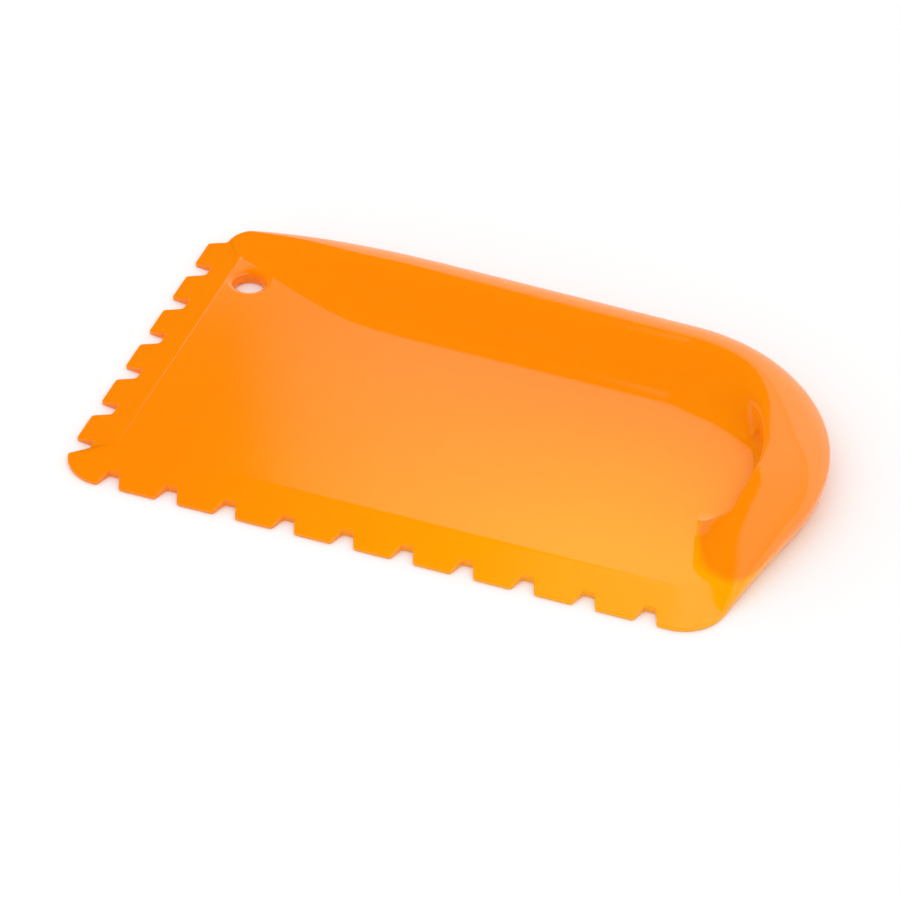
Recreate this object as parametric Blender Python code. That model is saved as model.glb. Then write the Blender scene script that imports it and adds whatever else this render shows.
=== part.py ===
# Pan scraper with a raised grip rim and two serrated blades, moulded in one piece.
# Units are metres and +Z is up. The origin is the middle of the footprint, at the height of the
# surface that the scraper lies on. The long toothed blade is the front edge, along X, and the
# short one is the left edge. The rim runs along the rear and the right edge.
import math

import bmesh
import bpy
import numpy as np
from mathutils import Vector

# Overall size: from the left tooth tips to the bulge of the rim, and from the front tips to the rear
LENGTH = 0.1174
WIDTH = 0.0692
PANEL_THICKNESS = 0.0026

# Outline of the blank
FRONT_LEFT_RADIUS = 0.0070
FRONT_RIGHT_RADIUS = 0.0074
GRIP_CORNER_RADIUS = 0.0315
REAR_LEFT_RADIUS = 0.0035
RIGHT_EDGE_LEAN = math.radians(15.4)
REAR_EDGE_LEAN = math.radians(1.4)

# Blades: the panel thins to its front and left edges, over this width
BLADE_WIDTH = 0.0075
TIP_THICKNESS = 0.00065
TIP_ROUNDING = 0.00025
CREASE_RADIUS = 0.0012

# Teeth: trapezium notches with a round root, at the rib spacing of a grill pan, wide open in front
# and deeper, with steeper sides, on the left. The front row is laid out from the front left corner,
# and the left row from the end of the last tooth, close behind which the corner is set back.
TOOTH_PITCH = 0.0100
FRONT_NOTCH_MOUTH = 0.0038
FRONT_NOTCH_ROOT = 0.0018
FRONT_NOTCH_DEPTH = 0.0028
LEFT_NOTCH_MOUTH = 0.0037
LEFT_NOTCH_ROOT = 0.0028
LEFT_NOTCH_DEPTH = 0.0034
NOTCH_ROOT_RADIUS = 0.00055
TOOTH_CORNER_RADIUS = 0.00058
FRONT_FIRST_NOTCH = 0.00937
LAST_TOOTH_TO_CORNER = 0.00028
NOSE_ROOM = 0.0040

# Grip rim: a scooped ramp up from the panel, a crest with a small round, and an outer wall that
# swells to its bulge and curls in under it
RIM_HEIGHT = 0.0077
RIM_WIDTH = 0.0146
CREST_INSET = 0.0060
CREST_RADIUS = 0.0026
BULGE_HEIGHT = 0.0046
UNDERCUT = 0.0021
SCOOP_SHARE = 0.42

# The rim dies out towards both blades, over these lengths along the outline
FRONT_FADE = 0.0300
REAR_FADE = 0.0430
FRONT_FADE_POWER = 1.5
REAR_FADE_POWER = 2.4
FOOT_FADE_POWER = 0.75
SMOOTH_RAMP_WEIGHT = 0.3

# Core: the underside of the rim is hollow, so that the moulding keeps an even wall
CORE_WALL = 0.0029
CORE_LAND = 0.0014
CORE_LEAST_WEIGHT = 0.62

# Hanging hole near the rear left corner, with a rounded lip on the upper side
HOLE_DIAMETER = 0.0058
HOLE_FROM_LEFT = 0.0114
HOLE_FROM_REAR = 0.0134
HOLE_LIP_RADIUS = 0.0010
HOLE_LIP_SWEEP = math.radians(72.0)

# How far a cutter runs past what it cuts, and how steeply a notch cutter flares outside the tips
OVERRUN = 0.0020
FLARE_SHARE = 0.25

# Edges that turn more than this stay sharp in the shading
SHARP_ANGLE = math.radians(30.0)

# Steps along the outline and across the section
FRONT_CORNER_STEPS = 8
GRIP_EDGE_STEPS = 9
GRIP_CORNER_STEPS = 24
REAR_EDGE_STEPS = 26
REAR_CORNER_STEPS = 5
RAMP_STEPS = 9
ROUND_STEPS = 4
CREST_STEPS = 8
CURL_STEPS = 5
HOLE_STEPS = 40
LIP_STEPS = 6
FILLET_STEPS = 4

# Finish
MOULDED_ORANGE = (1.0, 0.235, 0.002, 1.0)
MOULDED_ROUGHNESS = 0.22


def remove_all_objects():
    for old in list(bpy.data.objects):
        bpy.data.objects.remove(old, do_unlink=True)


def heading(angle):
    return np.array([math.cos(angle), math.sin(angle)])


def mix(a, b, share):
    return a + (b - a) * share


def crossing(normal_a, reach_a, normal_b, reach_b):
    # The plan point that lies as far out as given along each of two outward normals
    return np.linalg.solve(np.array([normal_a, normal_b]), np.array([reach_a, reach_b]))


# Outward normals of the four edges in plan
FRONT = heading(-math.pi / 2)
LEFT = heading(math.pi)
RIGHT = heading(-RIGHT_EDGE_LEAN)
REAR = heading(math.pi / 2 - REAR_EDGE_LEAN)


def edge_layout():
    # The rear left corner is set back by the depth of a notch, as the last notch leaves it
    rear_left = np.array([LEFT_NOTCH_DEPTH + REAR_LEFT_RADIUS, WIDTH - REAR_LEFT_RADIUS])
    reach_rear = REAR @ rear_left + REAR_LEFT_RADIUS
    grip_centre = crossing(-LEFT, LENGTH - GRIP_CORNER_RADIUS, REAR, reach_rear - GRIP_CORNER_RADIUS)
    reach_right = RIGHT @ grip_centre + GRIP_CORNER_RADIUS
    front_right = crossing(FRONT, -FRONT_RIGHT_RADIUS, RIGHT, reach_right - FRONT_RIGHT_RADIUS)
    return rear_left, grip_centre, front_right, reach_rear, reach_right


def outline():
    # The outermost edge of the blank, counter-clockwise from the front right corner, as stations:
    # a plan point, its outward normal and the name of the stretch that it begins or belongs to
    rear_left, grip_centre, front_right, _, reach_right = edge_layout()
    front_left = np.array([FRONT_LEFT_RADIUS, FRONT_LEFT_RADIUS])
    last_tip = np.array([0.0, rear_left[1] - LAST_TOOTH_TO_CORNER])
    outer, normals, kind = [], [], []

    def arc(centre, radius, first, last, steps, name):
        for i in range(steps):
            normal = heading(mix(first, last, i / steps))
            outer.append(centre + radius * normal)
            normals.append(normal)
            kind.append(name)

    def edge(start, end, normal, steps, name):
        for i in range(steps):
            outer.append(mix(start, end, i / steps))
            normals.append(normal)
            kind.append(name)

    rear_angle = math.pi / 2 - REAR_EDGE_LEAN
    arc(front_right, FRONT_RIGHT_RADIUS, -math.pi / 2, -RIGHT_EDGE_LEAN, FRONT_CORNER_STEPS, "tab")
    edge(front_right + FRONT_RIGHT_RADIUS * RIGHT, grip_centre + GRIP_CORNER_RADIUS * RIGHT,
         RIGHT, GRIP_EDGE_STEPS, "right rim")
    arc(grip_centre, GRIP_CORNER_RADIUS, -RIGHT_EDGE_LEAN, rear_angle, GRIP_CORNER_STEPS, "corner rim")
    edge(grip_centre + GRIP_CORNER_RADIUS * REAR, rear_left + REAR_LEFT_RADIUS * REAR,
         REAR, REAR_EDGE_STEPS, "rear rim")
    arc(rear_left, REAR_LEFT_RADIUS, rear_angle, math.pi, REAR_CORNER_STEPS, "heel")
    edge(rear_left + REAR_LEFT_RADIUS * LEFT, last_tip, LEFT, 1, "step")
    edge(last_tip, front_left + FRONT_LEFT_RADIUS * LEFT, LEFT, 1, "left blade")
    arc(front_left, FRONT_LEFT_RADIUS, math.pi, math.pi * 3 / 2, FRONT_CORNER_STEPS, "nose")
    edge(front_left + FRONT_LEFT_RADIUS * FRONT, front_right + FRONT_RIGHT_RADIUS * FRONT,
         FRONT, 1, "front blade")
    return np.array(outer), np.array(normals), kind


def rim_weights(outer, kind):
    # 0 on the blades and 1 where the rim has its full height, by the way along the outline
    steps = np.linalg.norm(np.roll(outer, -1, axis=0) - outer, axis=1)
    way = np.concatenate([[0.0], np.cumsum(steps)[:-1]])
    from_front = np.clip((way - way[kind.index("right rim")]) / FRONT_FADE, 0.0, 1.0)
    from_rear = np.clip((way[kind.index("step")] - way) / REAR_FADE, 0.0, 1.0)
    full_front = 1.0 - (1.0 - from_front) ** FRONT_FADE_POWER
    full_rear = 1.0 - (1.0 - from_rear) ** REAR_FADE_POWER
    return full_front * full_rear


def foot_rail(outer, normals, kind, weights):
    # The foot, where blade or rim leaves the flat of the panel: parallel to the edges, and nearer
    # to them where the rim dies out. At three corners it turns on the small crease radius.
    _, _, _, reach_rear, reach_right = edge_layout()
    inset = mix(BLADE_WIDTH, RIM_WIDTH, weights ** FOOT_FADE_POWER)
    held = BLADE_WIDTH + CREASE_RADIUS
    heel_held = inset[kind.index("heel")] + CREASE_RADIUS
    turns = {
        "tab": crossing(FRONT, -held, RIGHT, reach_right - held),
        "heel": crossing(LEFT, -held, REAR, reach_rear - heel_held),
        "nose": crossing(FRONT, -held, LEFT, -held),
    }
    # The crease turns later than the edge does, so the rim's first feet slide along to meet it
    forward = np.array([-RIGHT[1], RIGHT[0]])
    slide = (turns["tab"] + CREASE_RADIUS * RIGHT - outer[kind.index("right rim")]) @ forward
    foot = outer - inset[:, None] * normals
    for i, name in enumerate(kind):
        if name in turns:
            foot[i] = turns[name] + CREASE_RADIUS * normals[i]
        elif name == "right rim":
            foot[i] += slide * max(0.0, 1.0 - weights[i] / SMOOTH_RAMP_WEIGHT) * forward
        elif name == "step":
            foot[i] = turns["heel"] + CREASE_RADIUS * LEFT
        elif name == "left blade":
            foot[i] = turns["heel"] + CREASE_RADIUS * (LEFT + FRONT)
        elif name == "front blade":
            foot[i] = turns["nose"] + CREASE_RADIUS * FRONT
    return foot


def bezier(p0, p1, p2, p3, steps):
    # Points of a cubic curve, without the last one
    points = []
    for i in range(steps):
        t = i / steps
        s = 1.0 - t
        points.append(s ** 3 * p0 + 3 * s * s * t * p1 + 3 * s * t * t * p2 + t ** 3 * p3)
    return points


def section(width, edge_height, weight):
    # Half section from the foot outwards, as inset from the edge and height: the ramp or bevel,
    # the crest, the bulge and the curl down to the surface that the scraper lies on
    crest = np.array([mix(TIP_ROUNDING, CREST_INSET, weight), mix(edge_height, RIM_HEIGHT, weight)])
    bulge = mix(edge_height / 2, BULGE_HEIGHT, weight)
    curl = mix(TIP_ROUNDING, UNDERCUT, weight)
    radius = CREST_RADIUS * weight
    # The ramp leaves the panel level, and runs into the small round of the crest as a tangent
    foot = np.array([width, PANEL_THICKNESS])
    bend = np.array([mix(foot[0], crest[0], SCOOP_SHARE), PANEL_THICKNESS])
    centre = crest - np.array([0.0, radius])
    across, up = bend - centre
    reach = math.hypot(across, up)
    slope = max(0.0, math.atan2(across, up) - math.acos(min(1.0, radius / reach)))
    shoulder = centre + radius * np.array([math.sin(slope), math.cos(slope)])
    # Where the rim is nearly gone, the ramp straightens into the bevel of the blade
    lead = min(1.0, weight / SMOOTH_RAMP_WEIGHT)
    points = bezier(foot, mix(mix(foot, shoulder, 1 / 3), mix(foot, bend, 2 / 3), lead),
                    mix(mix(foot, shoulder, 2 / 3), mix(shoulder, bend, 2 / 3), lead),
                    shoulder, RAMP_STEPS)
    for i in range(ROUND_STEPS):
        angle = slope * (1.0 - i / ROUND_STEPS)
        points.append(centre + radius * np.array([math.sin(angle), math.cos(angle)]))
    for i in range(CREST_STEPS):
        angle = math.pi / 2 * i / CREST_STEPS
        points.append(np.array([crest[0] * (1.0 - math.sin(angle)),
                                bulge + (crest[1] - bulge) * math.cos(angle)]))
    for i in range(CURL_STEPS + 1):
        angle = math.pi / 2 * i / CURL_STEPS
        points.append(np.array([curl * (1.0 - math.cos(angle)), bulge * (1.0 - math.sin(angle))]))
    return points


def stations():
    # For each station along the outline: edge point, foot point, rim weight, section and stretch
    outer, normals, kind = outline()
    weights = rim_weights(outer, kind)
    foot = foot_rail(outer, normals, kind, weights)
    step_height = mix(TIP_THICKNESS, PANEL_THICKNESS, LEFT_NOTCH_DEPTH / BLADE_WIDTH)
    found = []
    for i, name in enumerate(kind):
        width = np.linalg.norm(foot[i] - outer[i])
        edge_height = step_height if name in ("rear rim", "heel", "step") else TIP_THICKNESS
        found.append((outer[i], foot[i], weights[i], section(width, edge_height, weights[i]), name))
    return found


def to_world(plan, height):
    return Vector((plan[0] - LENGTH / 2, plan[1] - WIDTH / 2, height))


def new_object(name, bm):
    mesh = bpy.data.meshes.new(name)
    bm.to_mesh(mesh)
    bm.free()
    made = bpy.data.objects.new(name, mesh)
    bpy.context.scene.collection.objects.link(made)
    return made


def loft(bm, rings, closed):
    # Skins a row of equal rings of vertices, each ring a closed loop where closed is set
    count = len(rings[0])
    for ring, following in zip(rings, rings[1:]):
        for i in range(count if closed else count - 1):
            j = (i + 1) % count
            bm.faces.new((ring[i], ring[j], following[j], following[i]))


def blank():
    # The body without teeth, hole and core: one open section per station, skinned all round,
    # with a flat panel inside the foot and a flat sole inside the curl
    bm = bmesh.new()
    rings = []
    for edge, foot, _, points, _ in stations():
        inward = (foot - edge) / np.linalg.norm(foot - edge)
        rings.append([bm.verts.new(to_world(edge + inward * inset, height)) for inset, height in points])
    loft(bm, rings + rings[:1], False)
    bm.faces.new([ring[0] for ring in rings])
    bm.faces.new([ring[-1] for ring in reversed(rings)])
    bmesh.ops.recalc_face_normals(bm, faces=bm.faces)
    return new_object("scraper_body", bm)


def rounded(corners, radii):
    # A polyline with its inner corners turned into arcs
    points = [np.array(corners[0])]
    for before, corner, after, radius in zip(corners, corners[1:], corners[2:], radii):
        before, corner, after = np.array(before), np.array(corner), np.array(after)
        a = (before - corner) / np.linalg.norm(before - corner)
        b = (after - corner) / np.linalg.norm(after - corner)
        half = math.acos(np.clip(a @ b, -1.0, 1.0)) / 2
        centre = corner + (a + b) / np.linalg.norm(a + b) * radius / math.sin(half)
        start = corner + a * radius / math.tan(half) - centre
        end = corner + b * radius / math.tan(half) - centre
        turn = math.atan2(start[0] * end[1] - start[1] * end[0], start @ end)
        for i in range(FILLET_STEPS + 1):
            angle = turn * i / FILLET_STEPS
            c, s = math.cos(angle), math.sin(angle)
            points.append(centre + np.array([c * start[0] - s * start[1], s * start[0] + c * start[1]]))
    points.append(np.array(corners[-1]))
    return points


def notch_outline(mouth, root, depth):
    # Across the notch and into the blade, from one side of the mouth to the other
    half_mouth, half_root = mouth / 2, root / 2
    half_flare, flare_depth = half_mouth + OVERRUN, -OVERRUN * FLARE_SHARE
    corners = [(half_flare, flare_depth), (half_mouth, 0.0), (half_root, depth),
               (-half_root, depth), (-half_mouth, 0.0), (-half_flare, flare_depth)]
    radii = [TOOTH_CORNER_RADIUS, NOTCH_ROOT_RADIUS, NOTCH_ROOT_RADIUS, TOOTH_CORNER_RADIUS]
    return rounded(corners, radii) + [np.array([-half_flare, -OVERRUN]), np.array([half_flare, -OVERRUN])]


def prism(bm, plan_points, low, high):
    bottom = [bm.verts.new(to_world(point, low)) for point in plan_points]
    top = [bm.verts.new(to_world(point, high)) for point in plan_points]
    loft(bm, [bottom, top], True)
    bm.faces.new(bottom)
    bm.faces.new(top)


def notch_cutter():
    bm = bmesh.new()
    rear_left, _, front_right, _, _ = edge_layout()
    front = notch_outline(FRONT_NOTCH_MOUTH, FRONT_NOTCH_ROOT, FRONT_NOTCH_DEPTH)
    for middle in np.arange(FRONT_FIRST_NOTCH, front_right[0] - FRONT_NOTCH_MOUTH / 2, TOOTH_PITCH):
        prism(bm, [(middle + across, inset) for across, inset in front], -OVERRUN, RIM_HEIGHT)
    left = notch_outline(LEFT_NOTCH_MOUTH, LEFT_NOTCH_ROOT, LEFT_NOTCH_DEPTH)
    last_middle = rear_left[1] - LAST_TOOTH_TO_CORNER + LEFT_NOTCH_MOUTH / 2 - TOOTH_PITCH
    for middle in np.arange(last_middle, NOSE_ROOM + LEFT_NOTCH_MOUTH / 2, -TOOTH_PITCH):
        prism(bm, [(inset, middle + across) for across, inset in left], -OVERRUN, RIM_HEIGHT)
    bmesh.ops.recalc_face_normals(bm, faces=bm.faces)
    return new_object("notch_cutter", bm)


def hole_cutter():
    # A turned plug: straight through the panel, then flared to leave the rounded lip, whose sweep
    # stops short of level, so that the plug's rim crosses the top at an angle
    middle = np.array([HOLE_FROM_LEFT, WIDTH - HOLE_FROM_REAR])
    radius = HOLE_DIAMETER / 2
    top = PANEL_THICKNESS
    profile = [(radius, -OVERRUN), (radius, top - HOLE_LIP_RADIUS)]
    for i in range(1, LIP_STEPS + 1):
        angle = HOLE_LIP_SWEEP * i / LIP_STEPS
        profile.append((radius + HOLE_LIP_RADIUS * (1.0 - math.cos(angle)),
                        top - HOLE_LIP_RADIUS * (1.0 - math.sin(angle))))
    profile.append((profile[-1][0] + OVERRUN, profile[-1][1] + OVERRUN))
    bm = bmesh.new()
    rings = []
    for reach, height in profile:
        ring = []
        for i in range(HOLE_STEPS):
            plan = middle + reach * heading(2 * math.pi * i / HOLE_STEPS)
            ring.append(bm.verts.new(to_world(plan, height)))
        rings.append(ring)
    loft(bm, rings, True)
    bm.faces.new(rings[0])
    bm.faces.new(rings[-1])
    bmesh.ops.recalc_face_normals(bm, faces=bm.faces)
    return new_object("hole_cutter", bm)


def core_section(points, weight):
    # Half section of the hollow: under the ramp it keeps the wall, over the crest it turns down in
    # a quarter ellipse, and on the outer side it stands upright behind the curl and its land
    ramp = np.array(points[:RAMP_STEPS + ROUND_STEPS + 1])
    along = np.gradient(ramp, axis=0)
    along /= np.linalg.norm(along, axis=1)[:, None]
    hollow = list(ramp + CORE_WALL * np.stack([-along[:, 1], along[:, 0]], axis=1))
    top = ramp[-1] - np.array([0.0, CORE_WALL])
    hollow[-1] = top
    side = np.array([mix(TIP_ROUNDING, UNDERCUT, weight) + CORE_LAND,
                     min(mix(0.0, BULGE_HEIGHT, weight), top[1] / 2)])
    for i in range(1, CREST_STEPS + 1):
        angle = math.pi / 2 * i / CREST_STEPS
        hollow.append(np.array([mix(top[0], side[0], math.sin(angle)),
                                mix(side[1], top[1], math.cos(angle))]))
    hollow.append(np.array([side[0], -OVERRUN]))
    hollow.append(np.array([hollow[0][0], -OVERRUN]))
    return hollow


def core_cutter():
    bm = bmesh.new()
    rings = []
    for edge, foot, weight, points, name in stations():
        if "rim" in name and weight > CORE_LEAST_WEIGHT:
            inward = (foot - edge) / np.linalg.norm(foot - edge)
            rings.append([bm.verts.new(to_world(edge + inward * inset, height))
                          for inset, height in core_section(points, weight)])
    loft(bm, rings, True)
    bm.faces.new(rings[0])
    bm.faces.new(rings[-1])
    bmesh.ops.recalc_face_normals(bm, faces=bm.faces)
    return new_object("core_cutter", bm)


def cut(body, cutter):
    cutter.hide_render = True
    cutter.display_type = "WIRE"
    boolean = body.modifiers.new(cutter.name, "BOOLEAN")
    boolean.operation = "DIFFERENCE"
    boolean.object = cutter


def moulded_plastic():
    material = bpy.data.materials.new("moulded_orange_plastic")
    material.use_nodes = True
    shader = material.node_tree.nodes["Principled BSDF"]
    shader.inputs["Base Color"].default_value = MOULDED_ORANGE
    shader.inputs["Roughness"].default_value = MOULDED_ROUGHNESS
    shader.inputs["Metallic"].default_value = 0.0
    return material


def build():
    remove_all_objects()
    body = blank()
    body.data.materials.append(moulded_plastic())
    cut(body, core_cutter())
    cut(body, notch_cutter())
    cut(body, hole_cutter())
    body.data.shade_smooth()
    body.data.set_sharp_from_angle(angle=SHARP_ANGLE)


build()
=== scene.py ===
import math

import bmesh
import bpy
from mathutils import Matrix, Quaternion, Vector


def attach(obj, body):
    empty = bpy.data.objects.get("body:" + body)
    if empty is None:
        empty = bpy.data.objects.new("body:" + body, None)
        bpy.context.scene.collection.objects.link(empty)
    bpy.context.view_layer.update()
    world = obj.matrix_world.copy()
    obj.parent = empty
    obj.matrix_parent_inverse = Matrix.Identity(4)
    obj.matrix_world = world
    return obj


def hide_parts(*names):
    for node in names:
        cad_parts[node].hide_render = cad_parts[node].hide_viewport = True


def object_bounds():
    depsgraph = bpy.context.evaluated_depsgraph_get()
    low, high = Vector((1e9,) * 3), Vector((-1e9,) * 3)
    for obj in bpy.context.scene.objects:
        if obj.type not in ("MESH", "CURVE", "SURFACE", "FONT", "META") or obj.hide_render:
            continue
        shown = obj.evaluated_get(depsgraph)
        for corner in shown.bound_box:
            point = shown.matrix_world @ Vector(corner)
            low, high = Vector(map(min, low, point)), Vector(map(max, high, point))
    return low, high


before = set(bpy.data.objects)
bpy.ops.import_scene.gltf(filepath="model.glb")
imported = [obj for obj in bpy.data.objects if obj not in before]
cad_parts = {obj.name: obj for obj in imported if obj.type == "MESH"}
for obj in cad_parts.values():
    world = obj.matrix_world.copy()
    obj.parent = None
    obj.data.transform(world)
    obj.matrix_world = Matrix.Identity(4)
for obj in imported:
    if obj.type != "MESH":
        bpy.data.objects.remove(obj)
cadLow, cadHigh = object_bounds()
mm = 0.001
corner = Vector((cadLow[0], cadLow[1], 0.0))


def mix(a, b, share):
    return a + (b - a) * share


def smooth(value):
    value = min(1.0, max(0.0, value))
    return value * value * (3.0 - 2.0 * value)


def heading(angle):
    return Vector((math.cos(angle), math.sin(angle)))


def quarterTurn(steps):
    return [math.pi / 2 * i / steps for i in range(steps + 1)]


def crossing(normalA, reachA, normalB, reachB):
    # the plan point that lies as far out as given along two outward normals
    det = normalA.x * normalB.y - normalA.y * normalB.x
    return Vector(((reachA * normalB.y - reachB * normalA.y) / det,
                   (normalA.x * reachB - normalB.x * reachA) / det))


def place(plan, height):
    return corner + Vector((plan[0], plan[1], height)) * mm


# outline of the moulding, its panel and the bevelled blades
body = {
    "length": 117.4, "width": 69.2, "panel": 2.6,
    "frontLeftRadius": 7.0, "frontRightRadius": 7.4, "gripRadius": 31.5, "rearLeftRadius": 3.5,
    "rightLean": 15.4, "rearLean": 1.4,  # degrees off square
    "heelShort": 0.16,  # radians by which the rear left corner stops short of the left edge
    "bladeWidth": 7.5, "tipThickness": 0.65,
    "edgeRound": 0.22, "underShare": 0.8,  # the round under an edge is this share of the one above
    "creaseRadius": 1.2, "creaseRound": 0.35, "creaseShare": 0.08, "creaseSink": 0.025,
    "smoothAngle": 35.0,  # degrees; edges that turn more stay sharp
    "stations": {"tab": 20, "right rim": 36, "corner rim": 72, "rear rim": 70, "heel": 18, "nose": 16},
}
teeth = {
    "pitch": 10.0, "frontMouth": 3.8, "frontRoot": 1.8, "frontDepth": 2.8,
    "leftMouth": 3.7, "leftRoot": 2.8, "leftDepth": 3.4, "rootRadius": 0.55, "cornerRadius": 0.58,
    "firstFront": 9.37, "noseRoom": 4.0,
    "noseTurn": 0.10,  # radians from the last left notch to the start of the nose
    "lastToCorner": 0.28, "stepRadius": 0.5, "stepReach": 0.6,  # where the left blade ends at the heel
    "stepNear": 0.35, "stepOff": 0.02,  # how close to that end the bevel's foot turns its corner
    "rootRoom": 0.8, "fanFade": 2.0,  # how the bevel's mesh runs behind the notches
    "filletSteps": 5,
}
# the grip rim has one form along the rear and one along the side, and turns from one to the other
rim = {
    "height": 7.7, "width": 18.3, "bulge": 4.6, "undercut": 2.1,
    "frontFade": 30.0, "frontPower": 2.2, "rearFade": 43.0, "rearPower": 2.4, "turnIn": 0.3,
    "rear": {"crestInset": 4.8, "crownRadius": 6.5, "crown": 6.0, "shoulderRadius": 6.5, "coveRadius": 10.7,
             "dishRadius": 10.7, "straightTo": 0.75, "hollowFrom": 1.00, "footPower": 2.3},
    "side": {"crestInset": 8.5, "crownRadius": 18.0, "crown": 5.5, "shoulderRadius": 0.8, "coveRadius": 0.8,
             "dishRadius": 70.0, "straightTo": 0.76, "hollowFrom": 0.86, "footPower": 1.9},
    "dish": 5.0, "sideFrom": 18.0, "rearFrom": 70.0,  # degrees
    "shortestRun": 0.4, "fitTries": 20, "fitShrink": 0.92,  # fitting the ramp's rounds between its ends
    "leastTurn": 0.01,  # radians
    "plainRadius": 60.0, "plainShare": 0.85, "leastRise": 0.01,  # the slope where the rim sinks away
    "settleBy": 0.25,  # the weight by which a blade's square edge has become the rim's round side
    # the hollow under the rim, and the land that the rim stands on
    "wall": 2.9, "land": 1.4, "landRound": 0.25, "landMiddle": 0.07, "lowestSide": 0.2,
    "coreFrom": 0.62, "coreFull": 0.72, "coreSpread": 3.0,
    "dishSteps": 4, "coveSteps": 8, "rampSteps": 18, "shoulderSteps": 5, "crownSteps": 3,
    "roundSteps": 8, "crestSteps": 16, "curlSteps": 10,
}

front = heading(-math.pi / 2)
left = heading(math.pi)
right = heading(-math.radians(body["rightLean"]))
rear = heading(math.pi / 2 - math.radians(body["rearLean"]))
rearLeft = Vector((teeth["leftDepth"] + body["rearLeftRadius"], body["width"] - body["rearLeftRadius"]))
frontLeft = Vector((body["frontLeftRadius"], body["frontLeftRadius"]))
reachRear = rear.dot(rearLeft) + body["rearLeftRadius"]
gripCentre = crossing(-left, body["length"] - body["gripRadius"], rear, reachRear - body["gripRadius"])
reachRight = right.dot(gripCentre) + body["gripRadius"]
frontRight = crossing(front, -body["frontRightRadius"], right, reachRight - body["frontRightRadius"])


def filleted(corners):
    # corners are (point, radius); those with a radius turn into arcs
    points = []
    for i, (point, radius) in enumerate(corners):
        if radius == 0.0 or i in (0, len(corners) - 1):
            points.append(Vector(point))
            continue
        point = Vector(point)
        a = (Vector(corners[i - 1][0]) - point).normalized()
        b = (Vector(corners[i + 1][0]) - point).normalized()
        half = math.acos(max(-1.0, min(1.0, a.dot(b)))) / 2
        centre = point + (a + b).normalized() * radius / math.sin(half)
        start = point + a * radius / math.tan(half) - centre
        end = point + b * radius / math.tan(half) - centre
        turn = math.atan2(start.x * end.y - start.y * end.x, start.dot(end))
        for k in range(teeth["filletSteps"] + 1):
            angle = turn * k / teeth["filletSteps"]
            c, s = math.cos(angle), math.sin(angle)
            points.append(centre + Vector((c * start.x - s * start.y, s * start.x + c * start.y)))
    return points


def notch(side, middle, lowest=0.0):
    # corners of one notch as (place along the edge, depth, radius)
    mouth, root, depth = teeth[side + "Mouth"] / 2, teeth[side + "Root"] / 2, teeth[side + "Depth"]
    return [(middle - mouth, lowest, teeth["cornerRadius"]), (middle - root, depth, teeth["rootRadius"]),
            (middle + root, depth, teeth["rootRadius"]), (middle + mouth, 0.0, teeth["cornerRadius"])]


def bladeRuns():
    # the toothed outlines of the left blade, from the rear, and of the front blade, from the left
    lastTip = rearLeft.y - teeth["lastToCorner"]
    step = teeth["leftDepth"]
    leftCorners = [((step, rearLeft.y + teeth["stepReach"]), 0.0), ((step, rearLeft.y), teeth["stepRadius"]),
                   ((0.0, lastTip), teeth["cornerRadius"])]
    middle = lastTip + teeth["leftMouth"] / 2 - teeth["pitch"]
    while middle > teeth["noseRoom"] + teeth["leftMouth"] / 2:
        low = middle - teeth["leftMouth"] / 2
        onArc = 0.0  # how far in the corner's arc is where the notch ends
        if low < frontLeft.y:
            onArc = frontLeft.x - math.sqrt(frontLeft.x ** 2 - (frontLeft.y - low) ** 2)
        for along, depth, radius in reversed(notch("left", middle, onArc)):
            leftCorners.append(((depth, along), radius))
        middle -= teeth["pitch"]
    noseStart = math.pi + math.asin((frontLeft.y - low) / frontLeft.x) + teeth["noseTurn"]
    leftCorners.append((frontLeft + frontLeft.x * heading(noseStart), 0.0))
    frontCorners = [((frontLeft.x, 0.0), 0.0)]
    middle = teeth["firstFront"]
    while middle < frontRight.x - teeth["frontMouth"] / 2:
        frontCorners += [((along, depth), radius) for along, depth, radius in notch("front", middle)]
        middle += teeth["pitch"]
    frontCorners.append(((frontRight.x, 0.0), 0.0))
    return filleted(leftCorners), filleted(frontCorners), noseStart


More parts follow.
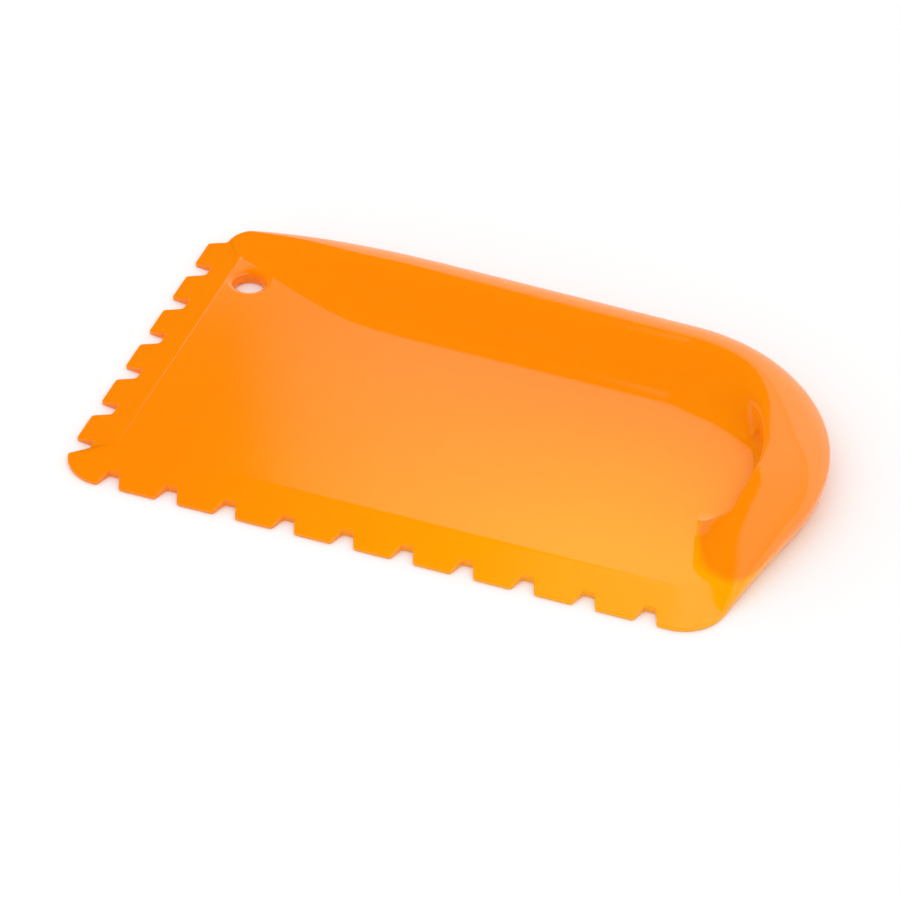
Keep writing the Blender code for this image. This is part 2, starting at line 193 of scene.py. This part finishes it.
def outlineStations():
    # counter-clockwise from the front right corner: edge point, foot point, outward normal of the
    # crease, height of the edge, stretch; with each goes its weight, which is 0 on a blade and 1
    # where the rim has its full height
    found = []
    blade, crease = body["bladeWidth"], body["creaseRadius"]
    held = blade + crease
    stepHeight = mix(body["tipThickness"], body["panel"], teeth["leftDepth"] / blade)
    rearAngle = math.pi / 2 - math.radians(body["rearLean"])
    lean = math.radians(body["rightLean"])

    def arc(name, centre, radius, first, last):
        steps = body["stations"][name]
        for i in range(steps):
            normal = heading(mix(first, last, i / steps))
            found.append([centre + radius * normal, None, normal, body["tipThickness"], name])

    def edge(name, start, end, normal):
        steps = body["stations"][name]
        for i in range(steps):
            found.append([start.lerp(end, i / steps), None, normal, body["tipThickness"], name])

    arc("tab", frontRight, body["frontRightRadius"], -math.pi / 2, -lean)
    edge("right rim", frontRight + body["frontRightRadius"] * right, gripCentre + body["gripRadius"] * right,
         right)
    arc("corner rim", gripCentre, body["gripRadius"], -lean, rearAngle)
    edge("rear rim", gripCentre + body["gripRadius"] * rear, rearLeft + body["rearLeftRadius"] * rear, rear)
    arc("heel", rearLeft, body["rearLeftRadius"], rearAngle, math.pi - body["heelShort"])
    # weights of the rim, which rises from the tab and sinks to the heel
    way = [0.0]
    for a, b in zip(found, found[1:]):
        way.append(way[-1] + (b[0] - a[0]).length)
    kinds = [s[4] for s in found]
    rimStart = way[kinds.index("right rim")]
    rimEnd = way[-1] + body["rearLeftRadius"] * body["heelShort"]
    weights = []
    for w in way:
        fromFront = min(1.0, max(0.0, (w - rimStart) / rim["frontFade"]))
        fromRear = min(1.0, max(0.0, (rimEnd - w) / rim["rearFade"]))
        weights.append((1.0 - (1.0 - fromFront) ** rim["frontPower"])
                       * (1.0 - (1.0 - fromRear) ** rim["rearPower"]))
    # feet of the rim, slid along the edge beside the tab and the heel so that they meet their creases
    insets = [mix(blade, rim["width"], w ** rimForm(s[2])["footPower"]) for w, s in zip(weights, found)]
    heel = kinds.index("heel")
    turnTab = crossing(front, -held, right, reachRight - held)
    turnHeel = crossing(left, -held, rear, reachRear - (insets[heel] + crease))
    turnNose = crossing(front, -held, left, -held)
    forward, backward = Vector((-right.y, right.x)), Vector((rear.y, -rear.x))
    tabSlide = (turnTab + crease * right - found[kinds.index("right rim")][0]).dot(forward)
    heelSlide = (turnHeel + crease * rear - found[heel][0]).dot(backward)
    for i, station in enumerate(found):
        name = station[4]
        if name == "tab":
            station[1] = turnTab + crease * station[2]
        elif name == "heel":
            station[1] = turnHeel + crease * station[2]
        else:
            station[1] = station[0] - insets[i] * station[2]
            if name == "right rim":
                station[1] += tabSlide * max(0.0, 1.0 - weights[i] / rim["turnIn"]) * forward
            elif name == "rear rim":
                share = max(0.0, 1.0 - (weights[i] - weights[heel]) / rim["turnIn"])
                station[1] += heelSlide * share * backward
        if name in ("rear rim", "heel"):
            station[3] = stepHeight
    # left blade, nose and front blade
    leftRun, frontRun, noseStart = bladeRuns()
    stepEnd = rearLeft.y - teeth["lastToCorner"]
    high, low = turnHeel.y - crease, turnNose.y
    for point in leftRun[:-1]:
        normal = left
        if point.y > stepEnd + teeth["stepNear"]:
            normal = heading(math.pi - body["heelShort"] / 2)
            foot = turnHeel + crease * normal
        elif point.y > stepEnd - teeth["stepNear"] and point.x > teeth["stepOff"]:
            foot = Vector((blade, turnHeel.y - crease * (1.0 - point.x / teeth["leftDepth"])))
        elif point.y < frontLeft.y:
            normal = heading(math.pi + math.asin((frontLeft.y - point.y) / frontLeft.y))
            foot = turnNose + crease * normal
        else:
            share = (stepEnd - point.y) / (stepEnd - frontLeft.y)
            foot = Vector((blade, mix(high, low, max(0.0, share))))
        found.append([point, foot, normal, 0.0, "left blade"])
    for i in range(body["stations"]["nose"]):
        normal = heading(mix(noseStart, math.pi * 1.5, i / body["stations"]["nose"]))
        found.append([frontLeft + frontLeft.x * normal, turnNose + crease * normal, normal, 0.0, "nose"])
    for point in frontRun[:-1]:
        share = (point.x - frontLeft.x) / (frontRight.x - frontLeft.x)
        foot = Vector((mix(turnNose.x, turnTab.x, share), blade))
        found.append([point, foot, front, 0.0, "front blade"])
    weights += [0.0] * (len(found) - len(weights))
    return found, weights


def bevelHeight(point):
    # height of the bevelled blades over a plan point
    inset = min(point.x, point.y)
    reach = body["frontLeftRadius"]
    if point.x < reach and point.y < reach:
        inset = reach - (frontLeft - point).length
    across = reachRight - right.dot(point)
    tab = body["frontRightRadius"]
    if point.y < tab and across < tab and frontRight.x < point.x:
        inset = tab - (point - frontRight).length
    return mix(body["tipThickness"], body["panel"], max(0.0, min(1.0, inset / body["bladeWidth"])))


def rimForm(normal):
    # the rim's form at a place whose outward normal is given, between its forms along the rear and the side
    turned = math.degrees(math.atan2(normal.y, normal.x))
    side = smooth((rim["rearFrom"] - turned) / (rim["rearFrom"] - rim["sideFrom"]))
    form = {key: mix(value, rim["side"][key], side) for key, value in rim["rear"].items()}
    form["side"] = side
    return form


def tangentSlope(foot, centre, radius):
    # slope of the straight line from the foot to a round, 0 where the foot is the higher
    across, up = foot - centre
    return max(0.0, math.atan2(across, up) - math.acos(min(1.0, radius / math.hypot(across, up))))


def roundPoint(centre, radius, slope):
    # the point of a round at which it has this slope
    return centre + radius * Vector((math.sin(slope), math.cos(slope)))


def rimRamp(foot, crest, form, weight):
    # from the foot out to the crest: a shallow dish, a cove, a straight run, a shoulder and the crown;
    # where the rim sinks away they turn into one slope that starts at a crease
    dish, crown = math.radians(rim["dish"]), math.radians(form["crown"])
    first, second, third = form["dishRadius"], form["coveRadius"], form["shoulderRadius"] * weight
    crownRadius = form["crownRadius"] * weight
    crownCentre = crest - Vector((0.0, crownRadius))
    crownFoot = roundPoint(crownCentre, crownRadius, crown)
    for _ in range(rim["fitTries"]):
        # the rounds shrink until a straight run fits between them
        base = Vector(((first - second) * math.sin(dish), first - (first - second) * math.cos(dish)))
        centre = roundPoint(crownFoot, -third, crown)
        gap = Vector((foot.x - centre.x, centre.y - foot.y)) - base
        if gap.length > math.hypot(third + second, rim["shortestRun"]):
            break
        first, second, third = (radius * rim["fitShrink"] for radius in (first, second, third))
    run = math.sqrt(max(rim["shortestRun"] ** 2, gap.length_squared - (third + second) ** 2))
    slope = max(max(dish, crown) + rim["leastTurn"],
                math.atan2(gap.y, gap.x) + math.atan2(third + second, run))
    coved = []
    for i in range(rim["dishSteps"]):
        angle = dish * i / rim["dishSteps"]
        coved.append(foot + Vector((-math.sin(angle), 1.0 - math.cos(angle))) * first)
    for i in range(rim["coveSteps"] + 1):
        angle = mix(dish, slope, i / rim["coveSteps"])
        coved.append(foot + Vector((-base.x, base.y)) - Vector((math.sin(angle), math.cos(angle))) * second)
    runSteps = rim["rampSteps"] - len(coved) + 1
    shoulder = roundPoint(centre, third, slope)
    coved += [coved[-1].lerp(shoulder, i / runSteps) for i in range(1, runSteps)]
    for i in range(rim["shoulderSteps"]):
        coved.append(roundPoint(centre, third, mix(slope, crown, i / rim["shoulderSteps"])))
    for i in range(rim["crownSteps"]):
        coved.append(roundPoint(crownCentre, crownRadius, crown * (1.0 - i / rim["crownSteps"])))
    # the single slope bulges along the side and is straight along the rear
    rise, reach = crest.y - foot.y, foot.x - crest.x
    full = rim["plainShare"] * (reach ** 2 + rise ** 2) / (2 * max(rise, rim["leastRise"]))
    full = min(rim["plainRadius"], full)
    radius = mix(min(form["shoulderRadius"] * weight, full), full, form["side"])
    centre = crest - Vector((0.0, radius))
    slant = tangentSlope(foot, centre, radius)
    touch = roundPoint(centre, radius, slant)
    plain = [foot.lerp(touch, i / rim["rampSteps"]) for i in range(rim["rampSteps"])]
    for i in range(rim["roundSteps"]):
        plain.append(roundPoint(centre, radius, slant * (1.0 - i / rim["roundSteps"])))
    blend = smooth((weight - form["straightTo"]) / (form["hollowFrom"] - form["straightTo"]))
    return [a.lerp(b, blend) for a, b in zip(plain, coved)]


def upperSection(width, edgeHeight, weight, form):
    # from the foot out over the ramp, the crest and the bulge, and round to the underside,
    # as (inset from the edge, height)
    edgeRound = body["edgeRound"]
    under = edgeRound * body["underShare"]
    bulge = mix(edgeHeight / 2, rim["bulge"], weight)
    crest = Vector((mix(edgeRound, form["crestInset"], weight), mix(edgeHeight, rim["height"], weight)))
    settle = smooth(weight / rim["settleBy"])
    wallTop = mix(edgeHeight - edgeRound, bulge, settle)
    wallFoot = mix(under, bulge, settle)
    curl = mix(under, rim["undercut"], weight)
    points = rimRamp(Vector((width, body["panel"])), crest, form, weight)
    for angle in quarterTurn(rim["crestSteps"]):
        points.append(Vector((crest.x * (1.0 - math.sin(angle)),
                              wallTop + (crest.y - wallTop) * math.cos(angle))))
    for angle in quarterTurn(rim["curlSteps"]):
        points.append(Vector((curl * (1.0 - math.cos(angle)), wallFoot * (1.0 - math.sin(angle)))))
    return points


def bladeSection(edgePoint, foot, inward, behind):
    # the same row of points on a blade, as (plan point, height): a straight bevel by way of a point
    # behind the notches, a small round along the toothed outline, a wall and a round below
    edgeRound = body["edgeRound"]
    under = edgeRound * body["underShare"]
    top = edgePoint + inward * edgeRound
    height, middle = bevelHeight(top), bevelHeight(behind)
    points = []
    steps = rim["rampSteps"] + rim["roundSteps"]
    half = steps // 2
    for i in range(steps):
        if i < half:
            # the first point is sunk a little and has the second close by, which rounds the crease
            share = 0.0 if i == 0 else mix(body["creaseShare"], 1.0, (i - 1) / (half - 1))
            sink = body["creaseSink"] if i == 0 else 0.0
            points.append((foot.lerp(behind, share), mix(body["panel"], middle, share) - sink))
        else:
            share = (i - half + 1) / (steps - half + 1)
            points.append((behind.lerp(top, share), mix(middle, height, share)))
    for angle in quarterTurn(rim["crestSteps"]):
        points.append((edgePoint + inward * edgeRound * (1.0 - math.sin(angle)),
                       height - edgeRound * (1.0 - math.cos(angle))))
    for angle in quarterTurn(rim["curlSteps"]):
        points.append((edgePoint + inward * under * (1.0 - math.cos(angle)), under * (1.0 - math.sin(angle))))
    return points


def lowerSection(points, width, weight, depth):
    # from the sole under the foot out through the hollow to the land; depth is 0 where it is solid
    ramp = points[:rim["rampSteps"] + rim["roundSteps"] + 1]
    land = points[-1].x
    inner = land + rim["land"]
    ceiling = []
    for i, point in enumerate(ramp):
        along = (ramp[min(i + 1, len(ramp) - 1)] - ramp[max(i - 1, 0)]).normalized()
        ceiling.append(point + rim["wall"] * Vector((-along.y, along.x)))
    top = ramp[-1] - Vector((0.0, rim["wall"]))
    ceiling[-1] = top
    sideHeight = min(mix(0.0, rim["bulge"], weight), max(rim["lowestSide"], top.y / 2))
    for angle in quarterTurn(rim["crestSteps"])[1:]:
        ceiling.append(Vector((mix(top.x, inner, math.sin(angle)), mix(sideHeight, top.y, math.cos(angle)))))
    ceiling.append(Vector((inner, rim["landRound"])))
    ceiling.append(Vector((inner - rim["landMiddle"], rim["landMiddle"])))
    ceiling.append(Vector((inner - rim["landRound"], 0.0)))
    found = []
    for i, point in enumerate(ceiling):
        flat = mix(width, land, (i + 1) / (len(ceiling) + 1))
        inset = mix(flat, point.x, smooth(depth * rim["coreSpread"]))
        found.append(Vector((inset, max(0.0, point.y) * depth)))
    return found


def bodyRings():
    # closed rings round the whole outline, from the sole's out to the land's, and from the underside's
    # edge back over the top to the panel's
    found, weights = outlineStations()
    upper, lower = [], []
    # a flat sole gets as many points as the hollow: its foot, the ramp, the crest and three at the land
    soleSteps = rim["rampSteps"] + rim["roundSteps"] + rim["crestSteps"] + 5
    half = soleSteps // 2
    for i, ((edgePoint, foot, normal, height, name), weight) in enumerate(zip(found, weights)):
        width = (foot - edgePoint).length
        inward = (foot - edgePoint) / width
        if name in ("tab", "left blade", "nose", "front blade"):
            along = found[(i + 1) % len(found)][0] - found[i - 1][0]
            square = Vector((-along.y, along.x)).normalized()
            behind = foot.lerp(edgePoint, 0.5)
            if name in ("left blade", "front blade"):
                # straight behind the tooth, but fanned out from the crease's corner close to the nose
                across, along = (0, 1) if name == "left blade" else (1, 0)
                level = teeth["leftDepth" if across == 0 else "frontDepth"] + teeth["rootRoom"]
                fanned = foot.lerp(edgePoint, (foot[across] - level) / (foot[across] - edgePoint[across]))
                behind[across], behind[along] = level, edgePoint[along]
                behind = fanned.lerp(behind, smooth((edgePoint[along] - frontLeft[along]) / teeth["fanFade"]))
            points = bladeSection(edgePoint, foot, square, behind)
            last = points[-1][0]
            upper.append([place(p, h) for p, h in points])
            lower.append([place(foot.lerp(behind, k / half), 0.0) for k in range(half)]
                         + [place(behind.lerp(last, k / (soleSteps - half)), 0.0)
                            for k in range(soleSteps - half)])
        else:
            points = upperSection(width, height, weight, rimForm(normal))
            depth = smooth((weight - rim["coreFrom"]) / (rim["coreFull"] - rim["coreFrom"]))
            under = lowerSection(points, width, weight, depth)
            upper.append([place(edgePoint + inward * p.x, p.y) for p in points])
            lower.append([place(foot, 0.0)] + [place(edgePoint + inward * p.x, p.y) for p in under])
        # a narrow band inside the foot keeps the crease round and the panel flat
        upper[-1].insert(0, place(foot - normal * body["creaseRound"], body["panel"]))
    return [list(ring) for ring in zip(*lower)] + [list(ring) for ring in zip(*upper)][::-1]


def growBody():
    # a filled circle is the sole, and its face is extruded from ring to ring until it is the panel
    rings = bodyRings()
    print("outline set out:", len(rings), "rings of", len(rings[0]), "points")
    bpy.ops.object.select_all(action="DESELECT")
    bpy.ops.mesh.primitive_circle_add(vertices=len(rings[0]), radius=body["width"] / 2 * mm,
                                      fill_type="NGON")
    made = bpy.context.object
    made.name = made.data.name = "scraperBody"
    bpy.ops.object.mode_set(mode="EDIT")
    mesh = bmesh.from_edit_mesh(made.data)
    station = mesh.verts.layers.int.new("station")
    for i, vert in enumerate(mesh.verts):
        vert[station] = i
        vert.co = rings[0][i]
    bmesh.update_edit_mesh(made.data)
    for ring in rings[1:]:
        bpy.ops.mesh.extrude_region_move()
        mesh = bmesh.from_edit_mesh(made.data)
        station = mesh.verts.layers.int["station"]
        for vert in mesh.verts:
            if vert.select:
                vert.co = ring[vert[station]]
        bmesh.update_edit_mesh(made.data)
    bpy.ops.mesh.select_all(action="SELECT")
    bpy.ops.mesh.normals_make_consistent(inside=False)
    bpy.ops.object.mode_set(mode="OBJECT")
    made.location = (0.0, 0.0, 0.0)
    print("body grown:", len(made.data.vertices), "points")
    return made


# hanging hole, with a rounded lip above and a small flare below
hole = {
    "fromLeft": 11.4, "fromRear": 13.4, "diameter": 5.1, "steps": 96,
    "lip": 1.4, "sweep": 80.0, "lipSteps": 10,  # the lip's round turns this many degrees
    "flare": 1.2, "flareTop": 0.15,
    "overReach": 1.5, "overHeight": 6.0,  # how far the cutter goes on past the lip
    "lipSlack": 0.01, "castFrom": 50.0, "merge": 0.001,
}


def holeCutter(target):
    # a profile standing at the hole's axis, spun into a plug whose lip follows the surface
    middle = place(Vector((hole["fromLeft"], body["width"] - hole["fromRear"])), 0.0)
    radius, lip = hole["diameter"] / 2, hole["lip"]
    profile = [(radius + hole["flare"], -hole["flare"]), (radius, hole["flareTop"]),
               (radius, body["panel"] - lip)]
    for i in range(1, hole["lipSteps"] + 1):
        angle = math.radians(hole["sweep"]) * i / hole["lipSteps"]
        profile.append((radius + lip * (1.0 - math.cos(angle)),
                        body["panel"] - lip * (1.0 - math.sin(angle))))
    reach, height = profile[-1]
    reach += hole["overReach"]
    height += hole["overReach"] * math.tan(math.radians(90.0 - hole["sweep"]))
    profile += [(reach, height), (reach, height + hole["overHeight"])]
    bpy.ops.object.select_all(action="DESELECT")
    bpy.ops.mesh.primitive_plane_add(size=mm, location=(0.0, 0.0, 0.0))
    cutter = bpy.context.object
    cutter.name = "holeCutter"
    bpy.ops.object.mode_set(mode="EDIT")
    mesh = bmesh.from_edit_mesh(cutter.data)
    bmesh.ops.delete(mesh, geom=list(mesh.verts), context="VERTS")
    last = None
    for reach, height in profile:
        vert = mesh.verts.new(middle + Vector((reach, 0.0, height)) * mm)
        vert.select = True
        if last:
            mesh.edges.new((last, vert)).select = True
        last = vert
    bmesh.update_edit_mesh(cutter.data)
    bpy.ops.mesh.spin(steps=hole["steps"], angle=math.tau, center=middle, axis=(0.0, 0.0, 1.0))
    bpy.ops.mesh.select_all(action="SELECT")
    bpy.ops.mesh.remove_doubles(threshold=hole["merge"] * mm)
    bpy.ops.mesh.select_all(action="DESELECT")
    bpy.ops.mesh.select_non_manifold()
    bpy.ops.mesh.edge_face_add()
    bpy.ops.mesh.select_all(action="SELECT")
    bpy.ops.mesh.normals_make_consistent(inside=False)
    bpy.ops.object.mode_set(mode="OBJECT")
    # the lip rides up with the ramp that begins beside the hole
    for vert in cutter.data.vertices:
        if vert.co.z > (body["panel"] - lip - hole["lipSlack"]) * mm:
            above = Vector((vert.co.x, vert.co.y, hole["castFrom"] * mm))
            hit, at, _, _ = target.ray_cast(above, Vector((0.0, 0.0, -1.0)))
            if hit:
                vert.co.z += at.z - body["panel"] * mm
    return cutter


def cutHole(target):
    cutter = holeCutter(target)
    boolean = target.modifiers.new("hangingHole", "BOOLEAN")
    boolean.operation = "DIFFERENCE"
    boolean.solver = "EXACT"
    boolean.object = cutter
    bpy.context.view_layer.objects.active = target
    bpy.ops.object.modifier_apply(modifier=boolean.name)
    bpy.data.objects.remove(cutter, do_unlink=True)
    print("hole cut:", len(target.data.vertices), "points")


def finishBody(target):
    bpy.ops.object.select_all(action="DESELECT")
    target.select_set(True)
    bpy.context.view_layer.objects.active = target
    bpy.ops.object.shade_smooth_by_angle(angle=math.radians(body["smoothAngle"]))
    weighted = target.modifiers.new("weightedNormals", "WEIGHTED_NORMAL")
    weighted.mode = "FACE_AREA_WITH_ANGLE"
    weighted.keep_sharp = True
    bpy.ops.object.modifier_apply(modifier=weighted.name)
    print("body smoothed")


# materials
def linear(code):
    # sRGB hex to linear
    parts = [int(code[i:i + 2], 16) / 255 for i in (0, 2, 4)]
    return tuple(c / 12.92 if c <= 0.04045 else ((c + 0.055) / 1.055) ** 2.4 for c in parts) + (1.0,)


def addNode(tree, kind, settings=None, links=None):
    node = tree.nodes.new(kind)
    for name, value in (settings or {}).items():
        if isinstance(name, str) and hasattr(node, name):
            setattr(node, name, value)
        else:
            node.inputs[name].default_value = value
    for name, source in (links or {}).items():
        tree.links.new(source, node.inputs[name])
    return node


plastic = {
    # the first orange is the plastic's own colour; the yellower one is the painted glow of light coming up
    # through it
    "orange": "FE8902", "paintedGlowOrange": "FFA600", "roughness": 0.05, "ior": 1.46,
    # light goes in about a millimetre: red furthest, blue hardly
    "scatter": 0.25, "scatterDepth": 1.2, "scatterColour": (1.0, 0.35, 0.05),
    # a painted glow, a yellower tone that stands in for light coming up through it, grows from the object's
    # middle: across, from the front back, in height
    "paintedGlowAcross": (-41.0, 26.0), "paintedGlowBack": (16.0, -22.0), "paintedGlowHeight": (3.3, 2.7),
    # the faint waviness of a moulded face: from wave to wave, how high, and how much of it shows
    "orangePeel": 2.5, "orangePeelDepth": 0.002, "orangePeelDetail": 2.0, "orangePeelStrength": 0.15,
}


def mouldedPlastic():
    # glossy polypropylene from a polished mould: clear reflections; it is a little translucent, and the light
    # from the table that comes up through its front, thinner than the rest, is painted into its colour as a
    # yellower glow there
    material = bpy.data.materials.new("glossyMouldedPolypropylene")
    material.use_nodes = True
    tree = material.node_tree
    shader = tree.nodes["Principled BSDF"]
    shader.inputs["Roughness"].default_value = plastic["roughness"]
    shader.inputs["IOR"].default_value = plastic["ior"]
    shader.inputs["Subsurface Weight"].default_value = plastic["scatter"]
    shader.inputs["Subsurface Radius"].default_value = plastic["scatterColour"]
    shader.inputs["Subsurface Scale"].default_value = plastic["scatterDepth"] * mm
    coords = addNode(tree, "ShaderNodeTexCoord")
    parts = addNode(tree, "ShaderNodeSeparateXYZ", links={"Vector": coords.outputs["Object"]})
    # painted glow: three ramps in object coordinates, multiplied, mark where light coming up through the
    # plastic is painted in, growing toward the right, the front and low down
    paintedGlow = None
    for axis, key in (("X", "paintedGlowAcross"), ("Y", "paintedGlowBack"), ("Z", "paintedGlowHeight")):
        start, end = plastic[key]
        share = addNode(tree, "ShaderNodeMapRange", {"From Min": start * mm, "From Max": end * mm},
                        {"Value": parts.outputs[axis]}).outputs["Result"]
        if paintedGlow:
            product = addNode(tree, "ShaderNodeMath", {"operation": "MULTIPLY"}, {0: paintedGlow, 1: share})
            share = product.outputs["Value"]
        paintedGlow = share
    # the painted glow turns the base colour from the plastic's orange to a yellower orange
    colour = addNode(tree, "ShaderNodeMix", {"data_type": "RGBA"})
    colour.inputs["A"].default_value = linear(plastic["orange"])
    colour.inputs["B"].default_value = linear(plastic["paintedGlowOrange"])
    tree.links.new(paintedGlow, colour.inputs["Factor"])
    tree.links.new(colour.outputs["Result"], shader.inputs["Base Color"])
    waves = {"Scale": 1.0 / (plastic["orangePeel"] * mm), "Detail": plastic["orangePeelDetail"]}
    noise = addNode(tree, "ShaderNodeTexNoise", waves, {"Vector": coords.outputs["Object"]})
    lift = {"Strength": plastic["orangePeelStrength"], "Distance": plastic["orangePeelDepth"] * mm}
    bump = addNode(tree, "ShaderNodeBump", lift, {"Height": noise.outputs["Fac"]})
    tree.links.new(bump.outputs["Normal"], shader.inputs["Normal"])
    return material


scraper = growBody()
cutHole(scraper)
finishBody(scraper)
scraper.data.materials.clear()
scraper.data.materials.append(mouldedPlastic())
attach(scraper, "root")
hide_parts("scraper_body")
print("plastic on, body done")

# camera: angles in degrees, distance and target in millimetres
view = {
    "azimuth": 18.802, "elevation": 39.640, "roll": 1.525, "distance": 683.244,
    "target": (57.108, 28.778, 0.0), "lens": 168.963, "sensor": 36.0, "clipStart": 10.0,
}


def addCamera():
    azimuth, elevation = math.radians(view["azimuth"]), math.radians(view["elevation"])
    back = Vector((math.sin(azimuth) * math.cos(elevation), -math.cos(azimuth) * math.cos(elevation),
                   math.sin(elevation)))
    turn = back.to_track_quat("Z", "Y") @ Quaternion((0.0, 0.0, 1.0), math.radians(view["roll"]))
    at = corner + (Vector(view["target"]) + back * view["distance"]) * mm
    bpy.ops.object.camera_add(location=at, rotation=turn.to_euler())
    camera = bpy.context.object
    camera.data.lens = view["lens"]
    camera.data.sensor_width = view["sensor"]
    camera.data.clip_start = view["clipStart"] * mm
    bpy.context.scene.camera = camera
    print("camera placed")


addCamera()

# table and room: what the plastic mirrors is given as heights and bearings seen from the scraper
studio = {
    "floor": "F5F5F5", "floorSize": 6.0, "floorRoughness": 0.9,  # size in metres
    "fill": 1.11, "dark": 0.02,
    # the pale wall and the glow low down: how bright, and in degrees how high up and how soft on top
    "low": 1.4, "lowTop": 37.2, "soft": 1.0, "lowLeft": -29.0, "lowSoft": 0.01,
    "glow": 0.35, "glowTop": 13.5, "glowSoft": 2.0,
    # the lamp overhead: how bright it is from its left edge to the right, by x over z at an even y over z,
    # how far that edge leans, and where the lamp ends toward the viewer, by y over z, also leaning;
    # its last two stops are a small step up at the far right
    "lamp": ((0.131, 0.0), (0.145, 0.42), (0.160, 0.70), (0.191, 0.92), (0.224, 1.0), (0.58, 1.05),
             (1.48, 0.55), (1.481, 0.75)),
    "lampSpan": (0.1, 1.6), "lampLean": 0.529, "lampFoot": 0.73, "lampNear": (0.06, 0.29), "nearLean": 0.6,
    "leastHeight": 0.01,
}


def addFloor():
    # white matt laminate: no reflection, only the scraper's soft shadow
    bpy.ops.object.select_all(action="DESELECT")
    bpy.ops.mesh.primitive_plane_add(size=studio["floorSize"], location=(0.0, 0.0, 0.0))
    floor = bpy.context.object
    floor.name = "table"
    material = bpy.data.materials.new("whiteTable")
    material.use_nodes = True
    shader = material.node_tree.nodes["Principled BSDF"]
    shader.inputs["Base Color"].default_value = linear(studio["floor"])
    shader.inputs["Roughness"].default_value = studio["floorRoughness"]
    shader.inputs["Specular IOR Level"].default_value = 0.0
    floor.data.materials.append(material)
    print("table laid")


def addWorld():
    # even light on matt surfaces; in reflections a wide lamp overhead and behind, a pale wall below it
    # that ends on the left, a glow low down all round, and darkness elsewhere
    world = bpy.data.worlds.new("softRoom")
    bpy.context.scene.world = world
    world.use_nodes = True
    tree = world.node_tree
    coords = addNode(tree, "ShaderNodeTexCoord").outputs["Generated"]
    parts = addNode(tree, "ShaderNodeSeparateXYZ", links={"Vector": coords}).outputs

    def maths(operation, a, b):
        node = addNode(tree, "ShaderNodeMath", {"operation": operation})
        for socket, value in zip(node.inputs, (a, b)):
            if isinstance(value, (int, float)):
                socket.default_value = value
            else:
                tree.links.new(value, socket)
        return node.outputs["Value"]

    def step(value, start, end):
        node = addNode(tree, "ShaderNodeMapRange", {
            "interpolation_type": "SMOOTHSTEP", "From Min": start, "From Max": end}, {"Value": value})
        return node.outputs["Result"]

    def above(degrees, soft):
        low, high = (math.sin(math.radians(degrees + turn)) for turn in (-soft, soft))
        return step(parts["Z"], low, high)

    # lamp
    height = maths("MAXIMUM", parts["Z"], studio["leastHeight"])
    east, north = maths("DIVIDE", parts["X"], height), maths("DIVIDE", parts["Y"], height)
    lean = maths("MULTIPLY", maths("MAXIMUM", north, studio["lampFoot"]), studio["lampLean"])
    start, end = studio["lampSpan"]
    across = addNode(tree, "ShaderNodeMapRange", {"From Min": start, "From Max": end},
                     {"Value": maths("ADD", east, lean)})
    ramp = addNode(tree, "ShaderNodeValToRGB", links={"Fac": across.outputs["Result"]})
    stops = ramp.color_ramp.elements
    stops.remove(stops[1])
    for i, (at, level) in enumerate(studio["lamp"]):
        share = (at - start) / (end - start)
        stop = stops[0] if i == 0 else stops.new(share)
        stop.position = share
        stop.color = (level, level, level, 1.0)
    near = maths("ADD", north, maths("MULTIPLY", east, studio["nearLean"]))
    lamp = maths("MULTIPLY", ramp.outputs["Color"], step(near, *studio["lampNear"]))
    lamp = maths("MULTIPLY", lamp, above(studio["lowTop"], studio["soft"]))
    # wall and glow
    edge = math.radians(studio["lowLeft"])
    side = addNode(tree, "ShaderNodeVectorMath", {"operation": "DOT_PRODUCT"}, {0: coords})
    side.inputs[1].default_value = (math.cos(edge), -math.sin(edge), 0.0)
    shown = step(side.outputs["Value"], -studio["lowSoft"], studio["lowSoft"])
    wall = maths("MULTIPLY", shown, studio["low"])
    wall = maths("MULTIPLY", wall, maths("SUBTRACT", 1.0, above(studio["lowTop"], studio["soft"])))
    glow = maths("SUBTRACT", 1.0, above(studio["glowTop"], studio["glowSoft"]))
    glow = maths("MULTIPLY", glow, studio["glow"])
    shine = maths("MAXIMUM", maths("MAXIMUM", lamp, maths("MAXIMUM", wall, glow)), studio["dark"])
    ray = addNode(tree, "ShaderNodeLightPath")
    level = addNode(tree, "ShaderNodeMix", {"data_type": "FLOAT"},
                    {"Factor": ray.outputs["Is Glossy Ray"], "B": shine})
    level.inputs["A"].default_value = studio["fill"]
    background = tree.nodes["Background"]
    background.inputs["Color"].default_value = (1.0, 1.0, 1.0, 1.0)
    tree.links.new(level.outputs["Result"], background.inputs["Strength"])
    print("room lit")


addFloor()
addWorld()
bpy.context.scene.view_settings.view_transform = "Standard"
